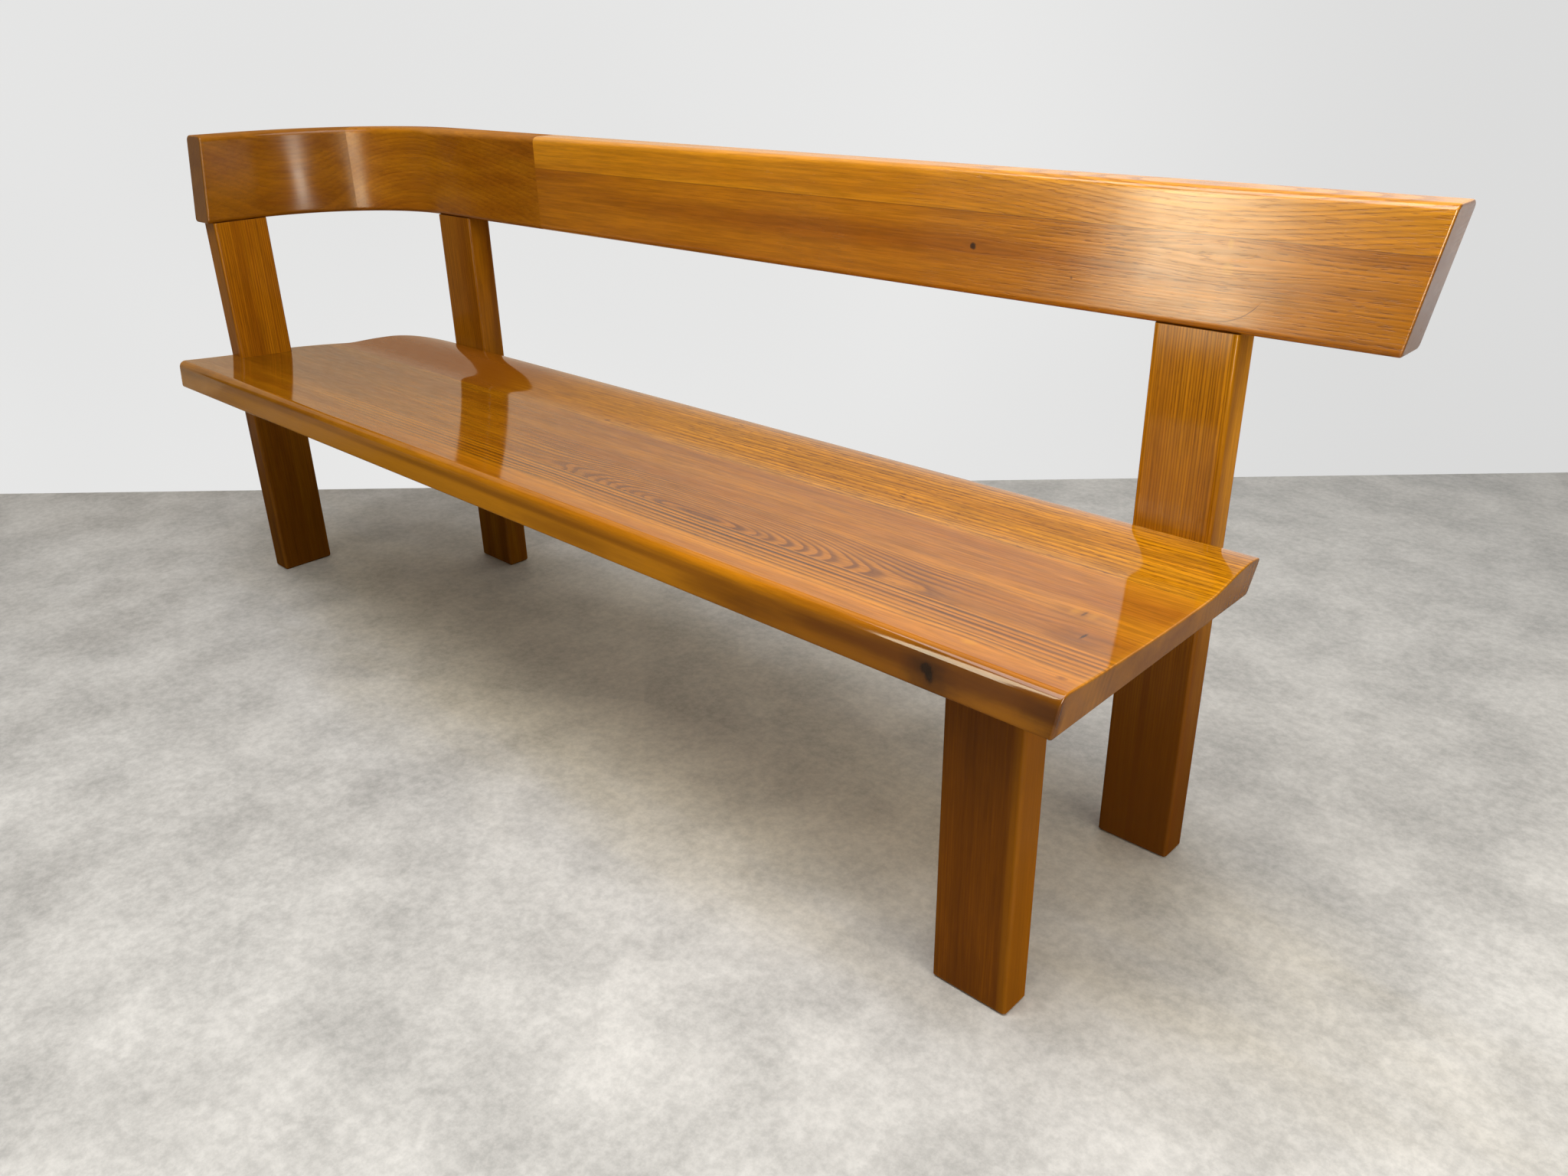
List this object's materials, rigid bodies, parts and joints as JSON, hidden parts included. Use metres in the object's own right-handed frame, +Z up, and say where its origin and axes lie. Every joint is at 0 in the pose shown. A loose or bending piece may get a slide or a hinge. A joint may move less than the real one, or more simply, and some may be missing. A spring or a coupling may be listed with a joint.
{
  "type": "corner bench",
  "caption": "Long solid wood bench with a dished plank seat on flat uprights and a thick backrest rail that bends round one closed end.",
  "frame": {"origin": "on the floor, under the middle of the bench's outline seen from above", "axes": "+X along the seat from the closed, curved end to the open end, +Y from the front edge to the backrest, +Z up"},
  "size_m": [1.9838, 0.464, 0.8195],
  "materials": {
    "seat_front_wood": "amber varnish, gloss, bold cathedral grain",
    "seat_middle_wood": "red-brown varnish, gloss, cathedral grain",
    "seat_rear_wood": "honey varnish, gloss, straight grain",
    "post_wood": "red-brown varnish, satin gloss, grain upright",
    "rail_wood": "amber varnish, gloss, straight grain",
    "rail_upper_wood": "honey varnish, gloss, straight grain",
    "bend_wood": "red-brown varnish, gloss, straight grain",
    "dowel_wood": "bare beech, turned"
  },
  "bodies": {
    "root": {"seat_board_front": "seat_front_wood", "seat_board_middle": "seat_middle_wood", "seat_board_rear": "seat_rear_wood", "seat_dowels": "dowel_wood", "end_post": "post_wood", "rear_left_post": "post_wood", "rear_right_post": "post_wood", "front_leg": "post_wood", "post_dowels": "dowel_wood", "rail_lower": "rail_wood", "rail_middle": "rail_wood", "rail_upper": "rail_upper_wood", "corner_lower": "bend_wood", "corner_middle": "bend_wood", "corner_upper": "bend_wood", "end_lower": "bend_wood", "end_middle": "bend_wood", "end_upper": "bend_wood", "mitre_dowels": "dowel_wood", "rail_dowels": "dowel_wood"}
  },
  "joints": []
}
